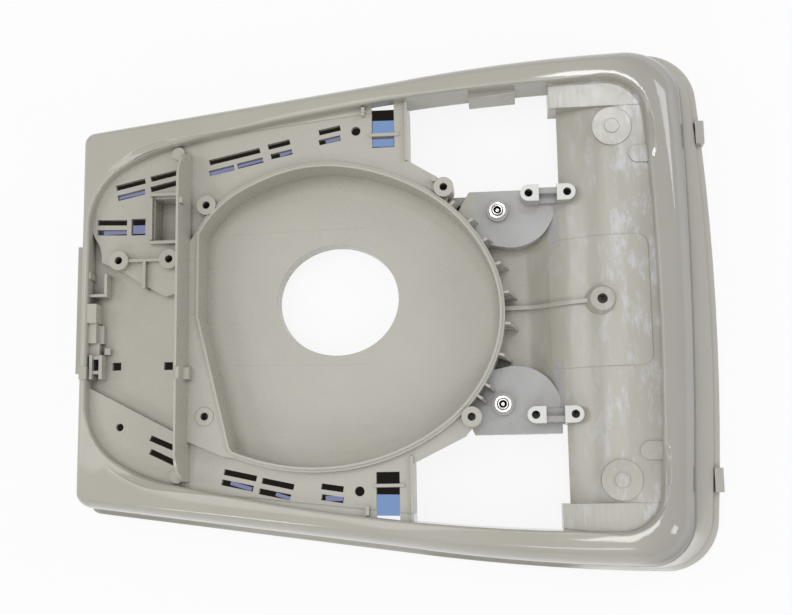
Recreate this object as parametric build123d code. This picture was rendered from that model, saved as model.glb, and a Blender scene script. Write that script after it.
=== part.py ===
from build123d import *
from math import cos, sin, radians, atan2, degrees, hypot
import os

# Tapered injection moulded housing: a rolled frame round a recess with a vented deck, a fan scroll
# with its inlet, and a curved front floor between two large openings. The housing is one moulding;
# two metal inserts are pressed into it. Millimetres, +Z up, +X to the wide front end, origin under
# the middle of the whole housing, on the surface it stands on.

# ---- rolled body --------------------------------------------------------------------------
CROWN_Z = 30.0          # top of the rolled frame
ROLL_FOOT_Z = 9.0       # where the roll meets the parting ledge
BACK_X = -137.0         # narrow end
BACK_HALF = 81.5        # half width at the narrow end
SHOULDER_HALF = 99.8    # half width where the straight sides start to curve
SIDE_SAG = 2.3          # bow of each side between the shoulder and the front corner
FRONT_X = 127.0         # wide end on the centre line
FRONT_HALF = 108.8      # half width at the wide end
FRONT_SWEEP = 5.6       # how far the front corners lie behind the middle of the front
BACK_CORNER_R = 5.5
FRONT_CORNER_R = 22.0
ROLL_BACK = 3.6         # width of the roll across the narrow end
ROLL_SIDE_BACK = 4.5    # width of the roll along the sides, at the narrow end
ROLL_SIDE_FRONT = 9.0   # the same at the wide end
ROLL_FRONT = 15.0       # width of the roll across the wide end
ROLL_STEPS = (0, 15, 30, 45, 60, 75, 90)       # angles round the quarter ellipse of the roll
ROLL_STEPS_INSIDE = (0, 30, 60, 90)    # the same for the hidden inside
CORNER_CLOSE = 3.0      # how much tighter the corners are at the crown
WALL = 2.5              # general wall

# ---- parting ledge, groove and skirt ------------------------------------------------------
LEDGE_Z = 8.6
LEDGE_SIDE = 0.9
LEDGE_FRONT = 3.8
GROOVE_TOP_Z = 6.5
GROOVE_H = 0.9
GROOVE_DEPTH = 1.0
SKIRT_SIDE = 2.2
SKIRT_FRONT = 6.8
SKIRT_WALL = 2.2
CLIP_Y = 74.0           # clips on the front of the skirt
CLIP_L = 10.0
CLIP_W = 3.6
CLIP_STAND = 1.2        # how far a clip stands out of the skirt
CLIP_Z = (2.5, 9.4)

# ---- recess inside the frame --------------------------------------------------------------
RECESS_BACK_X = -131.6
RECESS_BACK_HALF = 38.0
RECESS_TURN = (-118.0, 62.8)
RECESS_SHOULDER = (-97.0, 71.6)
RECESS_CORNER = (104.0, 93.6)
RECESS_FRONT_X = 107.4
RECESS_CORNER_R = 16.0
RECESS_LIP_R = 1.2
LIP_STEPS = (0, 30, 60, 90)            # angles round the edge of the recess
RECESS_WALL = 2.0
RECESS_FOOT_Z = 11.0    # lower edge of the recess wall at the large openings
WALL_TAB = (32.0, 52.0, 9.0, 2.2)   # tab on the recess wall: ends, lower edge, thickness

# ---- deck ---------------------------------------------------------------------------------
DECK_Z = 25.0
DECK_T = 2.4
DECK_EDGE_X = 5.8       # where the deck ends at the two large openings
EDGE_RIB_T = 1.2
EDGE_RIB_TOP_Z = 26.3
EDGE_RIB_FOOT_Z = 9.0
EDGE_RIB_Y = 62.3       # where the edge rib starts
WEB_UP = ((0, 64), (DECK_EDGE_X, 62.2), (16.5, 55.6), (24, 50), (20, 38), (0, 50))
WEB_LOW = ((0, -66), (DECK_EDGE_X, -65.4), (27.5, -54.8), (34, -47), (25, -38), (0, -58))

# ---- fan scroll ---------------------------------------------------------------------------
RIM_Z = 28.6
RIM_STEP = 0.8          # the outer half of the rim is this much lower
SCROLL_WALL = 2.2
SCROLL_FLOOR_Z = 12.5
SCROLL_FLOOR_T = 2.4
SCROLL_CORNER_R = 6.0
SCROLL_LEFT_X = -85.9
SCROLL_LEFT_Y = (33.2, -3.0)        # ends of the straight part of the left wall
SCROLL_CORNER = (-71.6, -60.6)      # lower left corner, before rounding
SCROLL_START = 63.0     # direction in which the curved wall leaves the left wall
SCROLL_CURVE = ((-78.5, 43.7), (-66.2, 53.0), (-51.0, 59.4), (-21.4, 61.9), (12.7, 49.7), (40.1, 19.2),
                (42.0, -21.0), (16.9, -53.3), (-21.6, -67.7), (-54.6, -66.1))
INLET_CENTRE = (-26.6, 5.3)
INLET_HALF_X = 26.4
INLET_HALF_Y = 24.2
INLET_COLLAR_T = 2.0
INLET_COLLAR_FOOT_Z = 3.0
GUSSET_HUB = (-20.0, -1.5)
GUSSET_ANGLES = (44.9, 35.2, 26.0, 15.9, 4.9, -6.4, -17.8, -29.9, -34.9)   # seen from GUSSET_HUB
GUSSET_SPAN = (50.0, 90.0)          # distances from GUSSET_HUB that a gusset plate covers
GUSSET_T = 1.1
GUSSET_REACH = (6.0, 2.4)           # at the foot and at the top
GUSSET_DROP = 1.4       # gusset tops lie this far under the rim

# ---- front floor --------------------------------------------------------------------------
FLOOR_BACK_X = 20.0     # inside the scroll
FLOOR_STRIP_HALF = 50.0  # half width of the strip of floor between the two large openings
FLOOR_LOW_Z = 6.0       # floor beside the scroll
FLOOR_HIGH_Z = 25.0     # floor at the front of the recess
FLOOR_START_X = 59.0    # foot of the ramp
FLOOR_FOOT_R = 14.0     # curve at the foot of the ramp
FLOOR_LEVEL_X = 97.0    # head of the ramp
FLOOR_EDGE_X = 69.3     # edge of the floor at the two large openings
FLOOR_T = 2.4
FLOOR_HALF = 82.5       # half width between the side shelves
SHELF_X = 65.8
SHELF_RISE = 0.2
SHELF_WALL = 1.8
PANEL_HALF = 27.2       # raised panel in the middle of the floor
PANEL_X = (63.8, 104.4)
PANEL_R = 5.0
PANEL_RISE = 0.4
PAD_POS = ((91.8, 73.5), (89.8, -73.4))
PAD_R = 8.2
PAD_RISE = 0.6
PAD_SINK = 1.5          # the pads reach down to the sloping floor
PAD_INNER_R = 3.0
TAB_W = 7.4
TAB_L = 6.7
TAB_RISE = 0.9
TAB_POS = ((102.0, 61.2), (101.2, -61.8))

# ---- hinge plates, boss pairs and inserts -------------------------------------------------
PLATE_Z = 14.0
PLATE_T = 2.4
PLATE_EDGE = {1: 50.2, -1: 53.8}
PLATE_BACK_X = 31.0
PLATE_ARC = ((67.4, 42.1), (60.6, 29.6), (46.5, 25.4))
PLATE_INNER = ((38.0, 27.0), (25.0, 40.0))   # corners hidden inside the scroll
PLATE_WALL = 2.0
EAR_Z = 24.0
EAR_Y = 46.5
EAR_X = (56.3, 72.4)
EAR_R = 3.5
EAR_HOLE_R = 1.7
EAR_FLAT = 4.3          # from the hole to the flat side
EAR_HOLE_DEPTH = 12.0
EAR_BRIDGE = (0.4, 2.9, 20.5, 16.5)  # high step: from, to; heights of both steps
INSERT_POS = ((43.0, 41.1), (43.0, -41.4))
INSERT_SEAT_Z = 16.6
INSERT_SEAT_R = 4.6
INSERT_FLANGE_R = 3.7
INSERT_FLANGE_H = 0.9
INSERT_COLLAR_R = 2.3
INSERT_COLLAR_H = 0.6
INSERT_STEM_R = 2.2
INSERT_STEM_L = 5.0
INSERT_BORE_R = 1.3
INSERT_GROOVE = (2.6, 3.0, 0.4)     # ring groove in the flange: radii and depth
INSERT_BORE_L = 3.5
INSERT_END_GAP = 0.2    # free depth under the stem
INSERT_FIT = 0.05       # clearance round the stem

# ---- bosses -------------------------------------------------------------------------------
BOSS_R = 4.2
BOSS_HOLE_R = 1.65
BOSS_Z = 28.6
BOSS_HOLE_DEPTH = 10.0
BOSS_END = 1.5          # material under a screw hole
DECK_BOSSES = ((-118.8, 22.7), (-96.8, 22.7), (-80.8, 45.5), (20.8, 49.4), (30.2, -47.0))
FRONT_BOSS = (84.8, 0.1)
FRONT_BOSS_Z = 28.0
FRONT_BOSS_R = (4.9, 8.2)           # at the top and at the foot
FRONT_BOSS_FOOT_Z = 17.0
FRONT_BOSS_HOLE_R = 2.1
FRONT_BOSS_HOLE_DEPTH = 9.0
AXIAL_RIB_T = 1.8
AXIAL_RIB_H = 3.0
AXIAL_RIB_X = 44.0
OCT_POS = (-80.8, -44.6)
OCT_R = 4.0
OCT_RISE = 0.5
OCT_HOLE_DEPTH = 7.0
PEG_R = 1.3
PEG_Z = 27.4
PEGS = ((16.8, 53.5), (-92.6, 48.6))
BUMP_R = 2.8            # half-round bumps behind the ends of the blade
BUMP_Z = 27.0
BUMPS = ((-93.6, 69.2), (-92.6, -69.2))

# ---- transverse blade, plateau and pockets ------------------------------------------------
BLADE_X = (-90.6, -89.6, -87.3)     # back face, front face at the top, front face at the foot
BLADE_TOP_Z = 40.0
BLADE_Y = (-71.5, 68.4)
BLADE_END = 12.0        # length of the rounded ends
BLADE_NIB = (-89.8, -88.2, 44.4, 46.8, 35.0, 39.4)   # small stop near the upper end
BLADE_NOTCH_Y = (-24.0, -29.4)
BLADE_NOTCH_H = 2.5
PLATEAU_TOP_Y = (28.4, 33.4)        # upper end of the plateau, at the blade and at the scroll
PLATEAU_LOW = ((-71.1, -58.0), (-66.0, -62.4), (-73.2, -61.2))   # lower end, from inside the scroll wall
PLATEAU_LOW_Y = -54.2   # lower end of the plateau at the blade
PLATEAU_WALL = 1.8
POCKET_Z = 20.8         # floor of the sunk area behind the blade
POCKET_T = 2.2
POCKET_WALL = 1.8
POCKET_TOP_Y = 37.0
POCKET_EDGE = ((-130.6, 33.6), (-128.4, 30.0), (-127.5, 26.2), (-127.3, 22.6), (-117.5, 18.1),
               (-109.3, 12.7), (-99.1, 7.0), (-94.7, 8.2))
POCKET_LOW = ((-94.6, -50.6), (-130.9, -31.6))
SQUARE_HOLES = ((-121.2, -22.0), (-98.5, -22.3))
SQUARE_HOLE = (3.8, 3.4)
WELL_X = (-103.9, -95.0)            # deep well with ribs round it
WELL_Y = (31.5, 49.8)
WELL_Z = 14.0
WELL_WALL = 1.5
RIB_T = 1.3
RIB_Z = 27.6
STUB_RIB_L = 12.1       # rib down from the middle of the bar between the back bosses
WELL_RIB_OUT = 1.4      # how far the ribs beside the well run past it
WELL_RIB_RISE = 0.6

# ---- vents and windows --------------------------------------------------------------------
SLOT_W = 2.4
SLOTS = (               # ends of each slot's centre line
    ((-129.6, 40.4), (-116.5, 39.9)), ((-129.6, 36.0), (-116.5, 35.5)),
    ((-121.6, 55.4), (-108.7, 58.2)), ((-120.8, 50.9), (-108.7, 53.5)),
    ((-106.2, 58.8), (-93.4, 61.6)), ((-106.2, 54.2), (-93.6, 57.0)),
    ((-80.4, 65.1), (-58.2, 69.7)), ((-80.4, 60.3), (-69.4, 62.6)), ((-68.0, 63.0), (-56.8, 65.4)),
    ((-54.6, 70.9), (-45.1, 72.9)), ((-53.4, 66.6), (-44.1, 68.5)),
    ((-32.4, 76.3), (-23.1, 78.1)), ((-32.4, 71.9), (-23.1, 73.7)),
    ((-104.6, -52.9), (-93.2, -57.8)), ((-104.6, -58.5), (-93.0, -64.0)),
    ((-73.0, -67.5), (-59.3, -70.5)), ((-57.0, -71.3), (-43.7, -74.2)),
    ((-74.0, -71.7), (-60.7, -74.6)), ((-58.2, -75.6), (-45.1, -78.4)),
    ((-32.2, -74.0), (-23.1, -75.4)), ((-32.2, -78.4), (-23.1, -79.8)),
)
VENT_WINDOW = (-114.5, -108.3, 34.2, 41.5)
WINDOW_X = (-9.5, 0.1)
WINDOW_Y = (68.6, 90.0)             # up to the wall of the recess
WINDOW_BAR_Y = (74.1, 1.4)          # middle and width of the bar across each window
WINDOW_BAR_Z = (21.5, 25.7)
WINDOW_STOP = (-13.7, -12.3, 82.2, 86.0, 28.0)   # ends along and across, top
PLAIN_HOLES = ((-16.4, 76.3, 2.0), (-16.4, -76.3, 2.0), (-117.9, -48.2, 1.6))

# ---- latch parts on the narrow end --------------------------------------------------------
HINGE_STRIP = (-139.4, -24.7, 30.7, 17.0, 21.0)   # outer face, ends, lower and upper level
LATCH_BLOCKS = (        # ends along the housing, ends across it, top
    (-133.6, -131.0, 15.1, 18.2, 28.4), (-125.2, -124.0, 7.4, 17.2, 27.4),
    (-133.0, -124.0, 7.4, 8.6, 27.4), (-133.8, -127.7, -4.0, 4.2, 29.4),
    (-133.8, -128.2, -12.5, -4.0, 27.6), (-128.7, -126.0, -12.5, -4.6, 24.2),
    (-133.6, -127.4, -18.2, -12.0, 25.4), (-125.6, -123.2, -17.2, -14.4, 24.0),
    (-130.8, -129.5, -27.8, -17.6, 28.2), (-126.8, -125.4, -27.8, -17.6, 27.6),
    (-130.8, -125.4, -19.4, -17.9, 27.0), (-130.8, -125.4, -25.6, -24.2, 27.2),
    (-134.4, -131.3, -28.0, -22.6, 30.4),
)
NOTCH_BLOCK = (-89.0, -86.3, -29.3, -24.3, 33.0)   # stop in front of the notch in the blade

# ---- reach of the construction solids -----------------------------------------------------
OVER = 1.0              # how far a cutter runs past the face it cuts
BITE = 0.5              # how far a part runs into the wall it grows from
FAR = 200.0             # beyond the housing in any direction

os.makedirs("parts", exist_ok=True)


def prism(face, z0, z1):
    """Solid between two levels over a face drawn at z = 0."""
    return Pos(0, 0, z0) * extrude(face, amount=z1 - z0, dir=(0, 0, 1))


def block(x0, x1, y0, y1, z0, z1):
    """Box between two corners."""
    box = Box(abs(x1 - x0), abs(y1 - y0), abs(z1 - z0))
    return Pos((x0 + x1) / 2, (y0 + y1) / 2, (z0 + z1) / 2) * box


def post(x, y, r, z0, z1):
    """Upright cylinder between two levels."""
    return Pos(x, y, (z0 + z1) / 2) * Cylinder(r, z1 - z0)


def bar(a, b, width, z0, z1):
    """Upright plate along the line from a to b."""
    length = hypot(b[0] - a[0], b[1] - a[1])
    turn = degrees(atan2(b[1] - a[1], b[0] - a[0]))
    place = Pos((a[0] + b[0]) / 2, (a[1] + b[1]) / 2, (z0 + z1) / 2) * Rot(0, 0, turn)
    return place * Box(length, width, z1 - z0)


def area(*points):
    """Face inside a closed polygon."""
    return make_face(Polyline(*points, close=True))


# ---- outlines -----------------------------------------------------------------------------
def body_outline(back=0.0, side_back=0.0, side_front=0.0, front=0.0, corner=0.0):
    """Plan of the housing, drawn in by the given amounts at the back, sides and front."""
    b = (BACK_X + back, BACK_HALF - side_back)
    s = (0.0, SHOULDER_HALF - (side_back + side_front) / 2)
    f = (FRONT_X - FRONT_SWEEP - front, FRONT_HALF - side_front)
    m = ((s[0] + f[0]) / 2, (s[1] + f[1]) / 2 + SIDE_SAG)
    upper = [Line((b[0], 0), b), Line(b, s), ThreePointArc(s, m, f)]
    nose = ThreePointArc(f, (FRONT_X - front, 0), (f[0], -f[1]))
    face = make_face(Curve() + upper + [nose] + [mirror(e, about=Plane.XZ) for e in upper])
    backs = [v for v in face.vertices() if v.X < b[0] + 1 and abs(v.Y) > 1]
    face = fillet(backs, max(BACK_CORNER_R - corner / 2, 1.0))
    fronts = [v for v in face.vertices() if v.X > f[0] - 1 and abs(v.Y) > f[1] - 1]
    return fillet(fronts, FRONT_CORNER_R - corner)


def left_of(direction):
    """Unit vector to the left of a direction."""
    return Vector(-direction.Y, direction.X).normalized()


def mitre(point, before, after, grow):
    """Corner of an outline moved out, between the directions before and after it."""
    a, b = left_of(before), left_of(after)
    return Vector(*point) + (a + b) * (grow / (1 + a.dot(b)))


def recess_outline(grow=0.0):
    """Egg-shaped plan of the recess inside the frame, grown by the given amount."""
    x, y = RECESS_CORNER
    points = [(RECESS_BACK_X, RECESS_BACK_HALF), RECESS_TURN, RECESS_SHOULDER]
    tangent = Vector(0, 1)
    place = Vector(*points[0]) + left_of(tangent) * grow
    upper = [Line((place.X, 0), place)]
    for a, b in zip(points, points[1:]):
        end_tangent = TangentArc(a, b, tangent=tangent) % 1
        end = Vector(*b) + left_of(end_tangent) * grow
        upper.append(TangentArc(place, end, tangent=tangent))
        place, tangent = end, end_tangent
    upper.append(TangentArc(place, (x + grow, y + grow), tangent=tangent))
    nose = ThreePointArc((x + grow, y + grow), (RECESS_FRONT_X + grow, 0), (x + grow, -y - grow))
    face = make_face(Curve() + upper + [nose] + [mirror(e, about=Plane.XZ) for e in upper])
    corners = [v for v in face.vertices() if v.X > x + grow - 1 and abs(v.Y) > 1]
    return fillet(corners, RECESS_CORNER_R + grow)


def scroll_outline(grow=0.0):
    """Plan of the fan scroll, out to the outside of its wall and grown by the given amount."""
    top = (SCROLL_LEFT_X, SCROLL_LEFT_Y[0])
    bend = (SCROLL_LEFT_X, SCROLL_LEFT_Y[1])
    up = Vector(0, 1)
    slant = Vector(*bend) - Vector(*SCROLL_CORNER)
    tangent = Vector(cos(radians(SCROLL_START)), sin(radians(SCROLL_START)))
    start = place = mitre(top, up, tangent, grow)
    points = [top, *SCROLL_CURVE, SCROLL_CORNER]
    arcs = []
    for a, b in zip(points, points[1:]):
        end_tangent = TangentArc(a, b, tangent=tangent) % 1
        if b == SCROLL_CORNER:
            end = mitre(b, end_tangent, slant, grow)
        else:
            end = Vector(*b) + left_of(end_tangent) * grow
        arcs.append(TangentArc(place, end, tangent=tangent))
        place, tangent = end, end_tangent
    knee = mitre(bend, slant, up, grow)
    face = make_face(Curve() + arcs + [Line(end, knee), Line(knee, start)])
    corner = face.vertices().sort_by_distance(end)[0]
    return fillet(corner, SCROLL_CORNER_R + grow)


# ---- outer shell --------------------------------------------------------------------------
def rolled_body(inset, foot_z, steps):
    """Body whose plan shrinks along a quarter ellipse from the foot of the roll to the crown."""
    sections = []
    rise = CROWN_Z - inset - ROLL_FOOT_Z
    for angle in steps:
        t = 1 - cos(radians(angle))
        face = body_outline(inset + ROLL_BACK * t, inset + ROLL_SIDE_BACK * t,
                            inset + ROLL_SIDE_FRONT * t, inset + ROLL_FRONT * t,
                            inset + CORNER_CLOSE * t)
        sections.append(Pos(0, 0, ROLL_FOOT_Z + rise * sin(radians(angle))) * face)
    foot = prism(body_outline(inset, inset, inset, inset, inset), foot_z, ROLL_FOOT_Z)
    return loft(sections, ruled=True) + foot


def grown(side, front):
    """Outline outside the foot of the roll."""
    return body_outline(0.0, -side, -side, -front)


def clips():
    """Clips on the front of the skirt."""
    x1 = FRONT_X + SKIRT_FRONT + CLIP_STAND - FRONT_SWEEP * (CLIP_Y / FRONT_HALF) ** 2
    parts = []
    for y in (CLIP_Y, -CLIP_Y):
        parts.append(block(x1 - CLIP_W, x1, y - CLIP_L / 2, y + CLIP_L / 2, *CLIP_Z))
    return parts


def lip_cut():
    """Cutter that rounds the edge of the frame round the recess."""
    sections = []
    for angle in LIP_STEPS:
        out = RECESS_LIP_R * (1 - cos(radians(angle)))
        level = CROWN_Z - RECESS_LIP_R * (1 - sin(radians(angle)))
        sections.append(Pos(0, 0, level) * recess_outline(out))
    return loft(sections, ruled=True)


def outer_shell(recess):
    """Frame with its roll, parting ledge, groove, skirt and clips, open underneath."""
    groove_foot = GROOVE_TOP_Z - GROOVE_H
    ledge = prism(grown(LEDGE_SIDE, LEDGE_FRONT), GROOVE_TOP_Z, LEDGE_Z)
    groove = grown(LEDGE_SIDE - GROOVE_DEPTH, LEDGE_FRONT - GROOVE_DEPTH)
    skirt = prism(grown(SKIRT_SIDE, SKIRT_FRONT), 0, groove_foot)
    shell = rolled_body(0.0, 0.0, ROLL_STEPS) + [ledge, prism(groove, groove_foot, GROOVE_TOP_Z), skirt] + clips()
    under = prism(grown(SKIRT_SIDE - SKIRT_WALL, SKIRT_FRONT - SKIRT_WALL), -OVER,
                  groove_foot - SKIRT_WALL)
    inside = rolled_body(WALL, -OVER, ROLL_STEPS_INSIDE)
    return shell - [inside, under, prism(recess, 2 * WALL, FAR), lip_cut()]


def recess_wall(recess):
    """Wall hanging from the frame round the recess, deep at the large openings."""
    band = recess_outline(RECESS_WALL) - recess
    top = CROWN_Z - WALL + OVER
    deep = prism(band, RECESS_FOOT_Z, top)
    deep &= block(DECK_EDGE_X - EDGE_RIB_T, FAR, -FAR, FAR, 0, CROWN_Z)
    x0, x1, foot_z, t = WALL_TAB
    tab = prism(recess - recess_outline(-t), foot_z, DECK_Z - DECK_T)
    tab &= block(x0, x1, 0, FAR, 0, CROWN_Z)
    return [prism(band, DECK_Z - DECK_T, top), deep, tab]


# ---- deck ---------------------------------------------------------------------------------
def deck(recess, scroll):
    """Vented deck round the scroll, with the webs out to the two outer bosses."""
    z0 = DECK_Z - DECK_T
    plate = prism(recess, z0, DECK_Z) & block(-FAR, DECK_EDGE_X, -FAR, FAR, 0, CROWN_Z)
    plate += [prism(area(*WEB_UP), z0, DECK_Z), prism(area(*WEB_LOW), z0, DECK_Z)]
    inside = prism(recess_outline(BITE), 0, CROWN_Z)
    for side in (1, -1):
        edge = block(DECK_EDGE_X - EDGE_RIB_T, DECK_EDGE_X, side * EDGE_RIB_Y, side * FAR,
                     EDGE_RIB_FOOT_Z, EDGE_RIB_TOP_Z)
        plate += edge & inside
    return plate - prism(scroll, 0, CROWN_Z)


def vents(recess):
    """Cutters for all openings through the deck."""
    top = DECK_Z + OVER
    cut = [bar(a, b, SLOT_W, 0, top) for a, b in SLOTS]
    cut.append(block(*VENT_WINDOW, 0, top))
    cut += [post(x, y, r, 0, top) for x, y, r in PLAIN_HOLES]
    y0, y1 = WINDOW_Y
    inside = prism(recess, 0, top)
    return cut + [block(*WINDOW_X, side * y0, side * y1, 0, top) & inside for side in (1, -1)]


def window_bars():
    """Bar and stop at each of the two windows."""
    parts = []
    y, w = WINDOW_BAR_Y
    x0, x1, y0, y1, top = WINDOW_STOP
    for side in (1, -1):
        parts.append(block(WINDOW_X[0] - OVER, WINDOW_X[1] + 2 * OVER, side * (y - w / 2),
                           side * (y + w / 2), *WINDOW_BAR_Z))
        parts.append(block(x0, x1, side * y0, side * y1, DECK_Z - BITE, top))
    return parts


# ---- scroll -------------------------------------------------------------------------------
def inlet_oval(grow):
    """Plan of the oval inlet, grown by the given amount."""
    return Pos(*INLET_CENTRE) * Ellipse(INLET_HALF_X + grow, INLET_HALF_Y + grow)


def scroll_shell(scroll):
    """Scroll wall with its stepped rim, floor, oval inlet and collar; deep beside the front floor."""
    inner = scroll_outline(-SCROLL_WALL)
    middle = scroll_outline(-SCROLL_WALL / 2)
    floor_foot = SCROLL_FLOOR_Z - SCROLL_FLOOR_T
    shell = prism(scroll, floor_foot, RIM_Z - RIM_STEP) + prism(middle, floor_foot, RIM_Z)
    deep = prism(scroll - inner, FLOOR_LOW_Z - FLOOR_T, SCROLL_FLOOR_Z)
    deep &= block(DECK_EDGE_X - EDGE_RIB_T, FAR, -FAR, FAR, 0, CROWN_Z)
    shell += [deep, prism(inlet_oval(INLET_COLLAR_T), INLET_COLLAR_FOOT_Z, SCROLL_FLOOR_Z)]
    return shell - [prism(inner, SCROLL_FLOOR_Z, FAR), prism(inlet_oval(0), 0, SCROLL_FLOOR_Z + OVER)]


def gussets():
    """Tapered gussets outside the scroll wall, from the rim down to the floor."""
    top = RIM_Z - GUSSET_DROP
    foot = FLOOR_LOW_Z - BITE
    ends = [Pos(0, 0, z) * scroll_outline(out) for z, out in zip((foot, top), GUSSET_REACH)]
    reach = loft(ends, ruled=True) - prism(scroll_outline(-BITE), foot, top)
    x, y = GUSSET_HUB
    near, far = GUSSET_SPAN
    parts = []
    for angle in GUSSET_ANGLES:
        c, s = cos(radians(angle)), sin(radians(angle))
        plate = bar((x + near * c, y + near * s), (x + far * c, y + far * s), GUSSET_T, foot, top)
        parts.append(plate & reach)
    return parts


# ---- front floor --------------------------------------------------------------------------
def floor_slab(rise, thickness, half):
    """Section of the floor, level, a curved ramp and level again, carried across the housing."""
    drop = FLOOR_HIGH_Z - FLOOR_LOW_Z
    run = FLOOR_LEVEL_X - FLOOR_START_X
    radius = (run ** 2 + drop ** 2) / (2 * drop)
    x_mid = FLOOR_START_X + run * 0.45
    z_mid = FLOOR_HIGH_Z - radius + (radius ** 2 - (FLOOR_LEVEL_X - x_mid) ** 2) ** 0.5
    line = [(FLOOR_BACK_X, FLOOR_LOW_Z), (FLOOR_START_X, FLOOR_LOW_Z), (x_mid, z_mid),
            (FLOOR_LEVEL_X, FLOOR_HIGH_Z), (RECESS_FRONT_X + OVER, FLOOR_HIGH_Z)]
    top = [(x, z + rise) for x, z in line]
    low = [(x, z - thickness) for x, z in line]
    edges = [Line(top[0], low[0]), Line(top[-1], low[-1])]
    for p in (top, low):
        edges += [Line(p[0], p[1]), ThreePointArc(p[1], p[2], p[3]), Line(p[3], p[4])]
    face = make_face(Curve() + edges)
    feet = [v for v in face.vertices() if abs(v.X - FLOOR_START_X) < BITE]
    return extrude(Plane.XZ * fillet(feet, FLOOR_FOOT_R), amount=half, both=True)


def shelves():
    """Level shelves at both sides of the ramp, with a wall under their free edges."""
    top = FLOOR_HIGH_Z + SHELF_RISE
    foot = RECESS_FOOT_Z - BITE
    parts = []
    for side in (1, -1):
        y = side * FLOOR_HALF
        wall_y = side * (FLOOR_HALF + SHELF_WALL)
        parts.append(block(SHELF_X, RECESS_FRONT_X + OVER, y, side * FAR, top - FLOOR_T, top))
        parts.append(block(SHELF_X, FLOOR_LEVEL_X - SHELF_WALL, y, wall_y, foot, top))
        parts.append(block(SHELF_X, SHELF_X + SHELF_WALL, y, side * FAR, foot, top))
    return parts


def floor_details():
    """Round pads, half-round tabs and the raised panel on the front floor."""
    low = FLOOR_HIGH_Z - BITE
    parts = []
    for x, y in PAD_POS:
        parts.append(post(x, y, PAD_R, low - PAD_SINK, FLOOR_HIGH_Z + PAD_RISE))
        parts.append(post(x, y, PAD_INNER_R, low - PAD_SINK, FLOOR_HIGH_Z + 2 * PAD_RISE))
    for x, y in TAB_POS:
        half = TAB_W / 2
        top = FLOOR_HIGH_Z + TAB_RISE
        parts.append(post(x, y, half, low, top))
        parts.append(block(x, x + TAB_L, y - half, y + half, low, top))
    x0, x1 = PANEL_X
    panel = Pos((x0 + x1) / 2, 0) * RectangleRounded(x1 - x0, 2 * PANEL_HALF, PANEL_R)
    parts.append(floor_slab(PANEL_RISE, BITE, PANEL_HALF) & prism(panel, 0, CROWN_Z))
    return parts


def front_floor():
    """Curved floor with everything on it, inside the recess and outside the scroll."""
    slab = floor_slab(0.0, FLOOR_T, FLOOR_HALF + BITE)
    slab -= [block(0, FLOOR_EDGE_X, side * FLOOR_STRIP_HALF, side * FAR, 0, FAR) for side in (1, -1)]
    floor = slab + shelves() + floor_details()
    floor &= prism(recess_outline(BITE), 0, CROWN_Z)
    return floor - prism(scroll_outline(-BITE), 0, CROWN_Z)


def plate_face(side):
    """Plan of the raised fan-shaped plate on one side."""
    edge = (PLATE_BACK_X, side * PLATE_EDGE[side])
    a, m, b = [(x, side * y) for x, y in PLATE_ARC]
    inner = [(x, side * y) for x, y in PLATE_INNER]
    return make_face(Curve() + [Polyline(b, *inner, edge, (a[0], edge[1]), a), ThreePointArc(a, m, b)])


def hinge_plates():
    """Raised plates beside the scroll, each with a wall down to the floor."""
    inside = prism(scroll_outline(-BITE), 0, CROWN_Z)
    return [prism(plate_face(side), FLOOR_LOW_Z - BITE, PLATE_Z) - inside for side in (1, -1)]


def plate_hollows():
    """Cutters that open the hinge plates from below."""
    inside = prism(scroll_outline(PLATE_WALL - SCROLL_WALL), 0, CROWN_Z)
    faces = [offset(plate_face(side), amount=-PLATE_WALL, kind=Kind.INTERSECTION) for side in (1, -1)]
    return [prism(face, 0, PLATE_Z - PLATE_T) - inside for face in faces]


def ears():
    """Two D-shaped bosses on each side with the stepped bridge between them."""
    parts = []
    foot = PLATE_Z - PLATE_T
    x0, x1 = EAR_X
    ear_foot = FLOOR_LOW_Z - BITE
    for side in (1, -1):
        y = side * EAR_Y
        parts += [post(x, y, EAR_R, ear_foot, EAR_Z) for x in EAR_X]
        parts.append(block(x0, x0 + EAR_FLAT, y - EAR_R, y + EAR_R, ear_foot, EAR_Z))
        parts.append(block(x1 - EAR_FLAT, x1, y - EAR_R, y + EAR_R, ear_foot, EAR_Z))
        y0, y1, high, low = EAR_BRIDGE
        parts.append(block(x0, x1, y + side * y0, y + side * y1, foot, high))
        parts.append(block(x0, x1, y - y1, y + y1, foot, low))
    return parts


def insert_seats():
    """Bosses that carry the metal inserts."""
    foot = INSERT_SEAT_Z - INSERT_STEM_L - BOSS_END
    return [post(x, y, INSERT_SEAT_R, foot, INSERT_SEAT_Z) for x, y in INSERT_POS]


def front_boss():
    """Tapered boss on the ramp and the rib that ties it to the scroll."""
    x, y = FRONT_BOSS
    top_r, foot_r = FRONT_BOSS_R
    height = FRONT_BOSS_Z - FRONT_BOSS_FOOT_Z
    cone = Pos(x, y, FRONT_BOSS_FOOT_Z + height / 2) * Cone(foot_r, top_r, height)
    rib = floor_slab(AXIAL_RIB_H, BITE, AXIAL_RIB_T / 2) & block(AXIAL_RIB_X, x, -FAR, FAR, 0, FAR)
    return [cone, rib]


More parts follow.
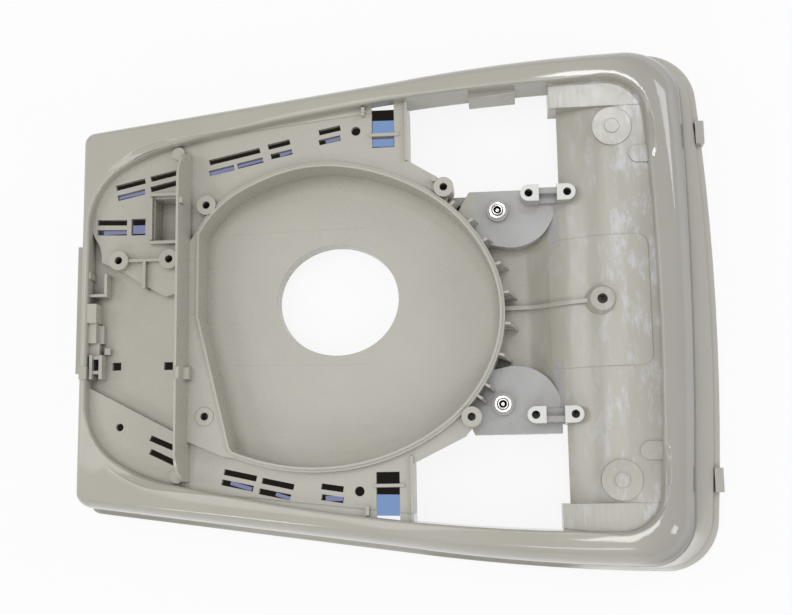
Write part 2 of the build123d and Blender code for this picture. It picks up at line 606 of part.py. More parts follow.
# ---- back end: blade, plateau, pockets, latch ---------------------------------------------
def blade():
    """Tall drafted blade across the back of the scroll, with rounded ends and one notch."""
    back, front_top, front_foot = BLADE_X
    foot = DECK_Z - DECK_T
    section = area((back, foot), (front_foot, foot), (front_top, BLADE_TOP_Z), (back, BLADE_TOP_Z))
    body = extrude(Plane.XZ * section, amount=FAR, both=True)
    side = [Line((BLADE_Y[0], foot), (BLADE_Y[1], foot))]
    rise = BLADE_TOP_Z - DECK_Z
    for end, inward in zip(BLADE_Y, (1, -1)):
        flat = end + inward * BLADE_END
        bend = (flat - inward * BLADE_END * sin(radians(45)), DECK_Z + rise * sin(radians(45)))
        side += [Line((end, foot), (end, DECK_Z)), ThreePointArc((end, DECK_Z), bend, (flat, BLADE_TOP_Z)),
                 Line((flat, BLADE_TOP_Z), (0, BLADE_TOP_Z))]
    outline = make_face(Curve() + side)
    body &= extrude(Plane.YZ * outline, amount=-FAR)
    notch = block(back - OVER, front_foot + OVER, *BLADE_NOTCH_Y, BLADE_TOP_Z - BLADE_NOTCH_H, FAR)
    return [body - notch, block(*NOTCH_BLOCK[:4], DECK_Z, NOTCH_BLOCK[4]), block(*BLADE_NIB)]


def plateau(inset=0.0):
    """Raised shelf between the blade and the straight wall of the scroll, or the hollow in it."""
    x0 = BLADE_X[1]
    x1 = SCROLL_LEFT_X + BITE
    face = area((x0, PLATEAU_TOP_Y[0]), (x1, PLATEAU_TOP_Y[1]), (x1, SCROLL_LEFT_Y[1]),
                *PLATEAU_LOW, (x0, PLATEAU_LOW_Y))
    if inset:
        return prism(offset(face, amount=-inset, kind=Kind.INTERSECTION), 0, RIM_Z - RIM_STEP - inset)
    return prism(face, DECK_Z - DECK_T, RIM_Z - RIM_STEP)


def pocket_face():
    """Plan of the sunk area behind the blade, between the wall of the recess and the blade."""
    x0 = RECESS_BACK_X - BITE
    x1 = BLADE_X[0] + BITE
    return area((x0, POCKET_TOP_Y), *POCKET_EDGE, (x1, POCKET_EDGE[-1][1]), (x1, POCKET_LOW[0][1]),
                *POCKET_LOW, (x0, POCKET_LOW[-1][1]))


def sunk_tubs():
    """Material for the walls and floors of the sunk area and the deep well."""
    x0, x1 = WELL_X
    y0, y1 = WELL_Y
    t = WELL_WALL
    tub = block(x0 - t, x1 + t, y0 - t, y1 + t, WELL_Z - WELL_WALL, DECK_Z)
    pocket = offset(pocket_face(), amount=POCKET_WALL, kind=Kind.INTERSECTION)
    return [prism(pocket, POCKET_Z - POCKET_T, DECK_Z), tub]


def sunk_cuts(recess):
    """Cutters for the sunk area and the deep well."""
    pocket = prism(pocket_face(), POCKET_Z, CROWN_Z) & prism(recess, 0, FAR)
    return [pocket, block(*WELL_X, *WELL_Y, WELL_Z, CROWN_Z)]


def back_ribs():
    """Thin ribs round the well and between the two back bosses."""
    left, right = DECK_BOSSES[0], DECK_BOSSES[1]
    foot = POCKET_Z - BITE
    x = (left[0] + right[0]) / 2
    parts = [bar(left, right, RIB_T, foot, RIB_Z)]
    parts.append(bar((x, left[1]), (x, left[1] - STUB_RIB_L), RIB_T, foot, RIB_Z))
    end = BLADE_X[0] + BITE
    for y in (WELL_Y[0] - RIB_T, WELL_Y[1] + RIB_T):
        parts.append(bar((WELL_X[0] - WELL_RIB_OUT, y), (end, y), RIB_T, foot, RIB_Z + WELL_RIB_RISE))
    parts.append(bar((WELL_X[0] - RIB_T, WELL_Y[0]), (WELL_X[0] - RIB_T, WELL_Y[1]), RIB_T, foot, RIB_Z))
    return parts


def latch():
    """Hinge strip outside the narrow end and the latch blocks along its wall."""
    face_x, y0, y1, z0, z1 = HINGE_STRIP
    strip = block(face_x, BACK_X + OVER, y0, y1, z0, z1)
    return [strip] + [block(*b[:4], POCKET_Z - BITE, b[4]) for b in LATCH_BLOCKS]


def small_bosses():
    """Screw bosses on the deck, the bumps at both ends of the blade, the pegs and the octagon."""
    foot = BOSS_Z - BOSS_HOLE_DEPTH - BOSS_END
    parts = [post(x, y, BOSS_R, foot, BOSS_Z) for x, y in DECK_BOSSES]
    parts += [post(x, y, BUMP_R, DECK_Z - BITE, BUMP_Z) for x, y in BUMPS]
    parts += [post(x, y, PEG_R, DECK_Z - BITE, PEG_Z) for x, y in PEGS]
    octagon = Pos(*OCT_POS) * RegularPolygon(OCT_R, 8, rotation=22.5)
    top = RIM_Z - RIM_STEP
    parts.append(prism(octagon, top - OCT_HOLE_DEPTH - BOSS_END, top + OCT_RISE))
    return parts


def screw_holes():
    """Cutters for the blind holes in all the bosses and for the square holes."""
    cut = [post(x, y, BOSS_HOLE_R, BOSS_Z - BOSS_HOLE_DEPTH, FAR) for x, y in DECK_BOSSES]
    cut.append(post(*OCT_POS, BOSS_HOLE_R, RIM_Z - OCT_HOLE_DEPTH, FAR))
    cut.append(post(*FRONT_BOSS, FRONT_BOSS_HOLE_R, FRONT_BOSS_Z - FRONT_BOSS_HOLE_DEPTH, FAR))
    for side in (1, -1):
        cut += [post(x, side * EAR_Y, EAR_HOLE_R, EAR_Z - EAR_HOLE_DEPTH, FAR) for x in EAR_X]
    stem = INSERT_STEM_R + INSERT_FIT
    cut += [post(x, y, stem, INSERT_SEAT_Z - INSERT_STEM_L, FAR) for x, y in INSERT_POS]
    a, b = SQUARE_HOLE
    cut += [block(x - a / 2, x + a / 2, y - b / 2, y + b / 2, 0, POCKET_Z + OVER) for x, y in SQUARE_HOLES]
    return cut


def housing():
    """The whole moulding."""
    recess = recess_outline()
    scroll = scroll_outline()
    body = outer_shell(recess) + recess_wall(recess) + [deck(recess, scroll)] + sunk_tubs()
    body -= sunk_cuts(recess) + vents(recess)
    body += [plateau(), front_floor()] + hinge_plates()
    body -= [plateau(PLATEAU_WALL)] + plate_hollows()
    body += [scroll_shell(scroll)] + blade() + gussets()
    body += ears() + insert_seats() + front_boss()
    body += back_ribs() + latch() + small_bosses() + window_bars()
    hollow = prism(scroll_outline(-SCROLL_WALL), SCROLL_FLOOR_Z, FAR)
    return body - ([hollow] + screw_holes())


def insert():
    """Flanged metal insert with a bore, its flange on the seat and its stem in the boss."""
    z = INSERT_SEAT_Z
    body = post(0, 0, INSERT_FLANGE_R, z, z + INSERT_FLANGE_H)
    body += post(0, 0, INSERT_COLLAR_R, z, z + INSERT_FLANGE_H + INSERT_COLLAR_H)
    body += post(0, 0, INSERT_STEM_R, z - INSERT_STEM_L + INSERT_END_GAP, z)
    r0, r1, depth = INSERT_GROOVE
    foot = z + INSERT_FLANGE_H - depth
    groove = post(0, 0, r1, foot, FAR) - post(0, 0, r0, foot, FAR)
    return body - [groove, post(0, 0, INSERT_BORE_R, z - INSERT_BORE_L, FAR)]


middle = (HINGE_STRIP[0] + FRONT_X + SKIRT_FRONT) / 2
export_step(Pos(-middle, 0, 0) * housing(), "parts/housing.step")
inserts = Compound([Pos(x - middle, y, 0) * insert() for x, y in INSERT_POS])
export_step(inserts, "parts/metal_inserts.step")
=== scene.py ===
# %% [markdown]
# # An injection moulded fan housing
# The housing is one moulding in warm light grey plastic: a glossy rolled frame round a satin recess
# that holds a vented deck, a fan scroll and a curved floor. Its shape comes from the CAD frame, so this
# script gives it its finish, its light, the small marks that a mould leaves and some painted light and
# shade.

# %% Load the frame
import bpy, bmesh, math
from mathutils import Matrix, Vector
from types import SimpleNamespace


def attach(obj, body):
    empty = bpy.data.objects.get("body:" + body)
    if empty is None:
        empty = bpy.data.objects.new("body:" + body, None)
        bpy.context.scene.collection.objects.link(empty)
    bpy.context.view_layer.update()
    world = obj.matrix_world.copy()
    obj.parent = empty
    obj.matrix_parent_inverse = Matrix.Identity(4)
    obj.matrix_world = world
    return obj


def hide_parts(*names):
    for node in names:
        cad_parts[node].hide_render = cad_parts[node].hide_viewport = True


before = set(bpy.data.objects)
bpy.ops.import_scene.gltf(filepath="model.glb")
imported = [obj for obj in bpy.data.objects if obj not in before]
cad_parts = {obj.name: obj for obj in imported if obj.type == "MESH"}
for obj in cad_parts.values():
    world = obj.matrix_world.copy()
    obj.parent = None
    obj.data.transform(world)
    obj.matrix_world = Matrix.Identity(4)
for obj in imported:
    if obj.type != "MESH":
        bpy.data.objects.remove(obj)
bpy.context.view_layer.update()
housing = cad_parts["housing"]
MM = 0.001
scene = bpy.context.scene

# %% [markdown]
# ## Camera
# The part lies on its rim and is seen from nearly straight above, a little nearer to the wide end, with
# a normal lens. A look-at constraint would level the picture, so the camera's three axes are written
# out as a rotation matrix, which keeps its small roll.

# %% Camera
CAMERA_AT = Vector((47.72, -72.67, 497.72)) * MM
CAMERA_AXES = (
    (0.995103, 0.030190, 0.094117),
    (-0.015819, 0.988581, -0.149855),
    (-0.097566, 0.147633, 0.984218),
)
FOCAL_PIXELS, PICTURE_WIDTH, SENSOR = 1150, 792, 36.0
lens = bpy.data.cameras.new("camera")
lens.sensor_width = SENSOR
lens.lens = SENSOR * FOCAL_PIXELS / PICTURE_WIDTH
lens.clip_start = 10 * MM
camera = bpy.data.objects.new("camera", lens)
scene.collection.objects.link(camera)
camera.matrix_world = Matrix.Translation(CAMERA_AT) @ Matrix(CAMERA_AXES).to_4x4()
scene.camera = camera
print("lens", round(lens.lens, 1), "mm, camera at", [round(v / MM) for v in CAMERA_AT], "mm")

# %% [markdown]
# ## The roll across the wide end
# Across the wide end the rolled edge is slimmer than along the sides, and leaves a broad ledge at its
# foot. The solid keeps one even roll, so the corners of a copied mesh are drawn in here: each ring of
# the quarter ellipse moves in proportion to how far round the roll it lies, and nothing else moves.

# %% Drawing the front roll in
AXIS_SHIFT = 2.8                        # the drawing's zero lies this far along X
FRONT_ARC = (88.6, 75.8, 16.0)          # rounded front corners of the recess: centre and radius
FRONT_EDGE = (107.4, 3.4 / 93.6 ** 2)   # its front edge on the centre line, and how it sweeps back
ROLL_Z = (9.0, 30.0)                    # foot and crown of the roll
ROLL_ZONE = (3.0, 22.2)                 # how far outside the recess the roll lies
CORNER_ZONE, CORNER_SIDE = 24.5, 84.0   # it reaches further out, this far from the middle
LEDGE_Z = 8.55                          # the ledge and all below it stay
DRAW_IN = (3.2, -0.018, -0.0002)        # movement of the foot: on the centre line, its slope and bend

def draw_in(y):
    """How far the foot of the front roll moves towards the recess."""
    return max(0.0, DRAW_IN[0] + DRAW_IN[1] * y + DRAW_IN[2] * y * y)

def past_recess(x, y):
    """Millimetres outside the front of the recess, and how squarely the roll faces forward there."""
    side = abs(y)
    if side > FRONT_ARC[1]:
        dx, dy = x - FRONT_ARC[0], side - FRONT_ARC[1]
        reach = math.hypot(dx, dy)
        return reach - FRONT_ARC[2], (dx / reach) ** 2 if reach else 0.0
    return x - (FRONT_EDGE[0] - FRONT_EDGE[1] * side * side), 1.0

def slim_front_roll(shape):
    moves = []
    for corner in shape.verts:
        x, y, z = (v / MM for v in corner.co)
        x -= AXIS_SHIFT
        if x < FRONT_ARC[0] or z < LEDGE_Z:
            continue
        beyond, facing = past_recess(x, y)
        furthest = CORNER_ZONE if abs(y) > CORNER_SIDE else ROLL_ZONE[1]
        if not ROLL_ZONE[0] < beyond < furthest:
            continue
        height = max(0.0, (z - ROLL_Z[0]) / (ROLL_Z[1] - ROLL_Z[0]))
        round_roll = math.sqrt(max(0.0, 1 - height * height))
        moves.append((corner, draw_in(y) * facing * round_roll * MM))
    for corner, inward in moves:
        corner.co.x -= inward
    print("moved", len(moves), "corners of the front roll")

print("foot of the front roll moves", round(draw_in(0), 1), "mm on the centre line")

# %% [markdown]
# ## The housing's surface
# On the real part every face flows into the next through a rolled edge. The CAD mesh is loose
# triangles, each with its own flat normal, so light would show every strip of the roll. A copy is
# welded together and shaded smooth instead, with hard edges only where two faces meet at a real
# corner. Weighted normals keep the broad faces flat beside the narrow strips.

# %% A smooth copy of a CAD piece
HOUSING_CORNER = 33                     # degrees: faces that meet at less flow into each other

def soften(shape, corner_degrees):
    """Smooth shading, with a hard edge at each real corner."""
    for face in shape.faces:
        face.smooth = True
    for edge in shape.edges:
        bend = edge.calc_face_angle(math.pi) if edge.is_manifold else math.pi
        edge.smooth = bend < math.radians(corner_degrees)

def finished(shape, name):
    """Turns a shape in the making into an object with its place in its mesh."""
    mesh = bpy.data.meshes.new(name)
    shape.to_mesh(mesh)
    shape.free()
    piece = bpy.data.objects.new(name, mesh)
    scene.collection.objects.link(piece)
    return piece

def smooth_copy(node, name, corner_degrees, reshape):
    shape = bmesh.new()
    shape.from_mesh(node.data)
    bmesh.ops.remove_doubles(shape, verts=shape.verts, dist=0.003 * MM)
    bmesh.ops.dissolve_degenerate(shape, edges=shape.edges, dist=0.002 * MM)
    reshape(shape)
    soften(shape, corner_degrees)
    piece = finished(shape, name)
    if "custom_normal" in piece.data.attributes:    # the flat normals of the CAD mesh
        piece.data.attributes.remove(piece.data.attributes["custom_normal"])
    weigh = piece.modifiers.new("even shading", "WEIGHTED_NORMAL")
    weigh.keep_sharp = True
    return piece

shell = smooth_copy(housing, "housing_shell", HOUSING_CORNER, slim_front_roll)
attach(shell, "root")
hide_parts("housing")
print("welded shell has", len(shell.data.vertices), "corners and", len(shell.data.polygons), "faces")

# %% [markdown]
# ## Arithmetic that builds nodes
# A finish is a node tree, and joining Math nodes one by one hides the idea. So a small class stands
# for a number that varies over the surface, and plain + - * / on it add the Math nodes. The reflected
# forms let a plain number come first, as in 1 - mask.

# %% A number that varies
class Varying:
    """A number that changes over a surface; arithmetic on it adds Math nodes."""

    def __init__(self, finish, socket):
        self.finish, self.socket = finish, socket

    def maths(self, operation, *values):
        sockets = dict(enumerate(values))
        return self.finish.node("ShaderNodeMath", {"operation": operation}, sockets)

    def __add__(self, other): return self.maths("ADD", self, other)
    def __radd__(self, other): return self.maths("ADD", other, self)
    def __sub__(self, other): return self.maths("SUBTRACT", self, other)
    def __rsub__(self, other): return self.maths("SUBTRACT", other, self)
    def __mul__(self, other): return self.maths("MULTIPLY", self, other)
    def __rmul__(self, other): return self.maths("MULTIPLY", other, self)
    def __truediv__(self, other): return self.maths("DIVIDE", self, other)
    def __rtruediv__(self, other): return self.maths("DIVIDE", other, self)
    def __gt__(self, other): return self.maths("GREATER_THAN", self, other)
    def __lt__(self, other): return self.maths("LESS_THAN", self, other)
    def __abs__(self): return self.maths("ABSOLUTE", self)
    def root(self): return self.maths("SQRT", self)
    def sine(self): return self.maths("SINE", self)
    def at_least(self, other): return self.maths("MAXIMUM", self, other)

print("operators ready:", [name for name in vars(Varying) if name.startswith("__r")])

# %% [markdown]
# ## One method for every other node
# Every other node comes from one method, which takes the node's type, its settings and what its
# sockets hold. On top of it stand the few tools that a finish needs: a mix of two colours, the place on
# the part in millimetres, noise of a given size, and a soft step from 0 to 1.

# %% A node tree in the making
class Finish:
    """The node tree of a new material, or of the world where that is given."""

    def __init__(self, name, owner=None):
        self.owner = owner or bpy.data.materials.new(name)
        self.owner.use_nodes = True
        self.tree = self.owner.node_tree
        self.shader = self.tree.nodes["Background" if owner else "Principled BSDF"]

    def node(self, kind, settings=None, sockets=None, out=0):
        node = self.tree.nodes.new(kind)
        for name, value in (settings or {}).items():
            setattr(node, name, value)
        self.join(node, sockets or {})
        return Varying(self, node.outputs[out])

    def join(self, node, sockets):
        for name, value in sockets.items():
            if isinstance(value, Varying):
                self.tree.links.new(value.socket, node.inputs[name])
            else:
                node.inputs[name].default_value = value

    def surface(self, **sockets):
        named = {name.replace("_", " "): value for name, value in sockets.items()}
        self.join(self.shader, named)

    def mix(self, mask, first, second):
        return self.node("ShaderNodeMix", {"data_type": "RGBA"}, {0: mask, 6: first, 7: second}, 2)

    def place(self):
        return self.node("ShaderNodeTexCoord", out="Object")

    def axis(self, place, name):
        return self.node("ShaderNodeSeparateXYZ", {}, {0: place}, name) / MM

    def stretched(self, place, scale):
        return self.node("ShaderNodeMapping", {}, {"Vector": place, "Scale": scale})

    def noise(self, place, size_mm, detail=2.0, roughness=0.5):
        sockets = {"Vector": place, "Scale": 1 / (size_mm * MM), "Detail": detail, "Roughness": roughness}
        return self.node("ShaderNodeTexNoise", {}, sockets)

    def fade(self, value, start, end):
        """0 before start, 1 after end, and a soft step between them."""
        sockets = {"Value": value, "From Min": start, "From Max": end}
        return self.node("ShaderNodeMapRange", {"interpolation_type": "SMOOTHSTEP"}, sockets)

    def between(self, value, low, high, soft):
        """1 from low to high and 0 outside, with soft ends."""
        return self.fade(value, low - soft, low + soft) * self.fade(value, high + soft, high - soft)

    def reach(self, dx, dy):
        return (dx * dx + dy * dy).root()


def rgb(red, green, blue):
    """A colour as a screen shows it, 0 to 255, turned into light."""
    return tuple((v / 255 / 12.92 if v <= 10 else ((v / 255 + 0.055) / 1.055) ** 2.4)
                 for v in (red, green, blue)) + (1.0,)

print("warm grey as light:", [round(v, 3) for v in rgb(184, 180, 169)])

# %% [markdown]
# ## Where the frame is
# The tool that moulds the part was polished where the frame shows and left satin in the recess, so the
# finish follows the place on the part. The border between the two is drawn with the same lines and arcs
# as the edge of the recess itself, as a distance in millimetres out from that edge.

# %% Where the frame is
SIDE_LINE = (82.2, 0.1095)              # edge of the recess along the sides: half width, slope
SIDE_SQUARE = 0.994                     # turns a distance across the part into one square to that edge
BACK_ARC = (-93.2, 33.1, 38.7)          # rounded back corners: centre and radius
BACK_EDGE = -131.6

def past_arc(paint, x, side, arc, ahead):
    """How far a point lies outside a rounded corner, and whether it is in that corner."""
    dx, dy = x - arc[0], side - arc[1]
    far = paint.reach(dx, dy) - arc[2]
    within = (dy > 0) * ((dx > 0) if ahead else (dx < 0))
    return far, within

def frame_distance(paint, x, side):
    """Millimetres from the edge of the recess out onto the frame, less than 0 in the recess."""
    along = (side - (SIDE_LINE[0] + SIDE_LINE[1] * x)) * SIDE_SQUARE
    front = x - (FRONT_EDGE[0] - FRONT_EDGE[1] * side * side)
    straight = along.at_least(front.at_least(BACK_EDGE - x))
    for arc, ahead in ((BACK_ARC, False), (FRONT_ARC, True)):
        far, within = past_arc(paint, x, side, arc, ahead)
        straight = straight + within * (far - straight)
    return straight

print("recess runs from", BACK_EDGE, "to", FRONT_EDGE[0], "mm")

# %% [markdown]
# ## Parts of the surface
# Each kind of surface gets a mask, 1 on it and 0 elsewhere. Boxes and heights in the drawing's own
# millimetres are enough, because the masks only have to find faces that are already there. The Bevel
# node gives the normal that a slightly rounded edge would have, so every sharp edge catches the light.

# %% Parts of the surface
POLISH_BORDER = (2.6, 3.1)              # satin ends and polish begins, this far outside the recess
LIP_Z = 28.2                            # only the frame stands higher beside the recess
PLATE_BOX = (33.0, 68.5, 24.0, 56.0)    # both hinge plates: ends along the part, then from its middle
PLATE_Z = (12.5, 21.5)
EAR_BOX = (51.5, 77.0, 41.5, 51.5)      # the ears on them, in the same way
EAR_Z = 23.8
FLOOR_START = (50.0, 66.0)              # the deck's finish turns into the front floor's
EDGE_RADIUS = 0.35

def boxed(paint, x, side, box):
    return paint.between(x, *box[:2], 0.5) * paint.between(side, *box[2:], 0.5)

def survey(paint):
    """Where a point is, in millimetres, and a mask for each kind of surface."""
    place = paint.place()
    x, y, z = (paint.axis(place, name) for name in "XYZ")
    x = x - AXIS_SHIFT
    side = abs(y)
    outward = frame_distance(paint, x, side)
    polished = paint.fade(outward + 3 * (z > LIP_Z), *POLISH_BORDER)
    satin = 1 - polished
    plates = boxed(paint, x, side, PLATE_BOX) * paint.between(z, *PLATE_Z, 0.3)
    ears = boxed(paint, x, side, EAR_BOX) * (z > EAR_Z)
    floor = paint.fade(x, *FLOOR_START) * satin * (1 - plates)
    front = polished * paint.fade(x, FRONT_ARC[0], FRONT_EDGE[0])
    rounded = paint.node("ShaderNodeBevel", {"samples": 4}, {"Radius": EDGE_RADIUS * MM})
    return SimpleNamespace(place=place, x=x, y=y, z=z, side=side, outward=outward, polished=polished,
                           satin=satin, plates=plates, ears=ears, floor=floor, front=front,
                           rounded=rounded)

print("both hinge plates span", PLATE_BOX[1] - PLATE_BOX[0], "mm along the part")

# %% [markdown]
# ## Flow lines, and painted light and shade
# Where two streams of melt meet in the mould they leave a faint line. The disc round the foot of the front
# boss gets painted shade, every edge gets a painted highlight, and deep screw holes and narrow crevices
# get painted shade that is nearly black at their bottoms.

# %% Flow lines and painted light and shade
FLOW_LINES = ((0.020, 36.92), (-0.011, -22.97))     # slope of each line, and where it crosses x = 0
FLOW_SPAN, FLOW_WIDTH, FLOW_SIDE = (-73.0, -12.6), 0.24, 50
FOOT_AT, FOOT_RADIUS = (81.3, 2.2), 6.7             # the disc round the front boss
LOW_Z = 14.0                                        # both lie on floors below this height
OPEN_REACH = 7                                      # how far round a point open air is looked for

def flow_lines(paint, at):
    lines = [paint.between(at.y - slope * at.x, middle - FLOW_WIDTH / 2, middle + FLOW_WIDTH / 2, 0.1)
             for slope, middle in FLOW_LINES]
    along = paint.between(at.x, *FLOW_SPAN, 2.0)
    return (lines[0] + lines[1]) * along * (at.z < LOW_Z) * (at.side < FLOW_SIDE)

# Mask for painted shade on a disc round the foot of the front boss.
def boss_foot(paint, at):
    away = paint.reach(at.x - FOOT_AT[0], at.y - FOOT_AT[1])
    return paint.fade(away, FOOT_RADIUS + 0.3, FOOT_RADIUS) * (at.z < LOW_Z)

# Mask for a painted highlight along every edge.
def edges(paint, at):
    """Where the rounded normal turns away from the face's own."""
    face = paint.node("ShaderNodeNewGeometry", out="Normal")
    turned_away = paint.node("ShaderNodeVectorMath", {"operation": "DOT_PRODUCT"},
                             {0: at.rounded, 1: face}, "Value")
    return paint.fade(turned_away, 0.99, 0.86)

# Mask for painted shade, nearly black deep in holes and narrow crevices.
def painted_crevice_shade(paint):
    reach = {"Distance": OPEN_REACH * MM}
    open_air = paint.node("ShaderNodeAmbientOcclusion", {"samples": 4}, reach, "AO")
    return paint.fade(open_air, 0.34, 0.06)

print(len(FLOW_LINES), "flow lines,", FLOW_SPAN[1] - FLOW_SPAN[0], "mm long")

# %% [markdown]
# ## Colour of the plastic, and painted light and shade
# The plastic is a warm light grey with slow clouds in it, as filled plastics have. The other colours
# are laid over it one after another, each by its mask and an amount, as thin coats of paint would be:
# first the large areas, then the marks. Most of them are painted light and shade: a painted sheen on the
# front floor, painted highlights on the ear tops, the ledge and the edges, and painted shade on the side
# and crown of the front roll, round the foot of the front boss and deep in holes and crevices.

# %% Colour of the plastic, and painted light and shade
def painted_front_sheen(paint, at):
    """Painted sheen: pale lavender reflections in streaks on the front floor, stronger towards the wide
    end.
    """
    streaks = paint.noise(paint.stretched(at.place, (1.9, 0.7, 1.0)), 9, 5.0, 0.68)
    return at.floor * paint.fade(streaks, 0.48, 0.68) * (0.3 + 0.5 * paint.fade(at.x, 76, 96))

def plastic_colour_and_painted_light(paint, at, cloud):
    tone = paint.mix(cloud, rgb(177, 173, 161), rgb(187, 183, 173))
    coats = (
        # painted sheen on the front floor
        (painted_front_sheen(paint, at), rgb(208, 206, 210)),
        (at.plates * 0.8, rgb(178, 177, 178)),
        # painted highlight: the ear tops lighter, as if brightly lit
        (at.ears * 0.9, rgb(228, 227, 222)),
        (at.front * paint.between(at.z, 11.0, 24.0, 3.0) * 0.85, rgb(112, 107, 101)),   # painted shade on the side of the roll
        (at.front * paint.fade(at.z, 20.0, 27.0) * 0.45, rgb(160, 155, 152)),           # painted shade on its crown
        (at.front * (at.z < 10.0) * 0.4, rgb(214, 211, 204)),                           # painted highlight on the ledge at its foot
        (flow_lines(paint, at) * 0.4, rgb(150, 147, 140)),
        # painted shade round the foot of the front boss
        (boss_foot(paint, at) * 0.7, rgb(160, 158, 145)),
        # painted highlight along every edge
        (edges(paint, at) * 0.5, rgb(216, 213, 205)),
        # painted shade deep in holes and crevices
        (painted_crevice_shade(paint) * 0.93, rgb(34, 31, 28)),
    )
    for mask, colour in coats:
        tone = paint.mix(mask, tone, colour)
    return tone

print("base colour from", [round(v, 2) for v in rgb(177, 173, 161)[:3]])

# %% [markdown]
# ## Gloss and fine relief
# Polished plastic mirrors the lamps, and satin plastic only glows back softly. A few hundredths of a
# millimetre of orange peel, grain and sink marks break up the reflections. The last slope of the frame
# into the recess is the one form that is only a tilt of the surface here and not a shape of its own.

# %% Plastic finish
LIP_BAND, LIP_SLOPE = 3.6, 0.42         # the frame slopes in towards the recess over this width
LIP_SIDE = (58, 72)                     # and does so only this far from the middle

def lip(paint, at):
    inside = (LIP_BAND - at.outward).at_least(0.0)
    ends = paint.fade(at.outward, LIP_BAND, LIP_BAND - 1.0) * at.polished * paint.fade(at.side, *LIP_SIDE)
    return inside * ends * -LIP_SLOPE

def plastic():
    paint = Finish("housing plastic")
    at = survey(paint)
    cloud = paint.noise(at.place, 34, 3.0)
    sink = paint.noise(at.place, 15)
    mottle = paint.noise(at.place, 5)
    peel = paint.noise(at.place, 2.4, 1.0)
    grain = paint.noise(at.place, 0.5, 1.0)
    ripple = paint.noise(paint.stretched(at.place, (3.0, 0.35, 1.0)), 6)
    rough = (at.satin * (0.22 + 0.10 * mottle) - at.floor * 0.08
             + at.polished * (0.05 + 0.03 * cloud))
    fine = (0.003 * peel + at.satin * (0.004 * mottle + 0.003 * grain)
            + at.floor * (0.05 * ripple + 0.07 * sink))
    relief = {"Strength": 1.0, "Distance": MM, "Height": lip(paint, at) + fine, "Normal": at.rounded}
    paint.surface(Base_Color=plastic_colour_and_painted_light(paint, at, cloud), Roughness=rough,
                  Normal=paint.node("ShaderNodeBump", {}, relief))
    return paint.owner

shell.data.materials.clear()
shell.data.materials.append(plastic())
print("shell wears", shell.data.materials[0].name)

# %% [markdown]
# ## The inserts
# Two turned metal inserts sit in their seats. Each has a flange with a ring groove, a raised collar and
# a bore with a small pin standing in it. A turned piece is one section swept round its axis, so both
# are spun from the same short list of corners.

# %% Insert shapes
INSERT_AT = ((45.8, 41.1), (45.8, -41.4))
INSERT_CORNER = 30                      # degrees, as for the housing
INSERT_SECTION = (                      # radius and height of each corner, from the foot up
    (0.0, 11.8), (2.2, 11.8), (2.2, 16.6), (3.7, 16.6), (3.7, 17.3), (3.5, 17.5), (2.55, 17.5),
    (2.45, 17.0), (2.3, 17.0), (2.2, 17.9), (2.05, 18.1), (1.7, 18.1), (1.5, 17.8),
    (1.3, 15.8), (1.05, 15.6), (0.95, 17.0), (0.75, 17.3), (0.0, 17.4),
)

def turned(name, section, centres, steps):
    """Spins one section into a turned piece at each of the centres."""
    shape = bmesh.new()
    for cx, cy in centres:
        corners = [shape.verts.new(((cx + r) * MM, cy * MM, z * MM)) for r, z in section]
        edges = [shape.edges.new(pair) for pair in zip(corners, corners[1:])]
        bmesh.ops.spin(shape, geom=corners + edges, cent=(cx * MM, cy * MM, 0), axis=(0, 0, 1),
                       angle=math.tau, steps=steps, use_merge=True, use_duplicate=False)
    bmesh.ops.remove_doubles(shape, verts=shape.verts, dist=0.002 * MM)
    bmesh.ops.recalc_face_normals(shape, faces=shape.faces)
    soften(shape, INSERT_CORNER)
    return finished(shape, name)

fasteners = turned("turned_inserts", INSERT_SECTION, INSERT_AT, 48)
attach(fasteners, "root")
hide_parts("metal_inserts")
print("inserts have", len(fasteners.data.polygons), "faces")

# %% [markdown]
# ## Turned metal
# A lathe tool leaves fine rings round the axis, and the groove and the gap round the pin get painted
# shade.
# Both follow the distance from the axis of the insert that a point belongs to, so the pattern is
# centred on each.

# %% Insert finish
RING_PHASE = 26                         # radians to a millimetre, which is about four rings
DARK_RINGS = ((2.38, 0.16), (1.28, 0.30))   # middle and half width of the groove and of the gap

def turned_steel():
    paint = Finish("insert steel")
    place = paint.place()
    (along, upper), (_, lower) = INSERT_AT
    x, y = paint.axis(place, "X") - along, paint.axis(place, "Y")
    y = y - (lower + (upper - lower) * (y > 0))
    radius = paint.reach(x, y)
    rings = (radius * RING_PHASE).sine()
    spot = paint.noise(place, 1.5)
    bump = paint.node("ShaderNodeBump", {}, {"Strength": 0.3, "Distance": 0.02 * MM, "Height": rings})
    groove, gap = (abs(radius - middle) < half for middle, half in DARK_RINGS)
    metal = paint.mix(spot, rgb(205, 203, 200), rgb(232, 230, 227))
    # painted shade in the groove and in the gap round the pin
    paint.surface(Base_Color=paint.mix(groove.at_least(gap), metal, rgb(70, 68, 66)),
                  Metallic=1.0, Roughness=0.16 + 0.12 * spot, Normal=bump)
    return paint.owner

fasteners.data.materials.append(turned_steel())
print("inserts wear", fasteners.data.materials[0].name)

# %% [markdown]
# ## Floor
# The part lies on a white sheet. The sheet shows itself white to the camera and in reflections, through
# a glow that only those rays see, and the small share that is left still takes the part's shadow.

# %% Floor
WHITE = (1, 1, 1, 1)
PALE = (0.88, 0.88, 0.88, 1)
FLOOR_SHARE, SHADE_SHARE = 0.88, 0.9    # how much of a sheet's colour is glow

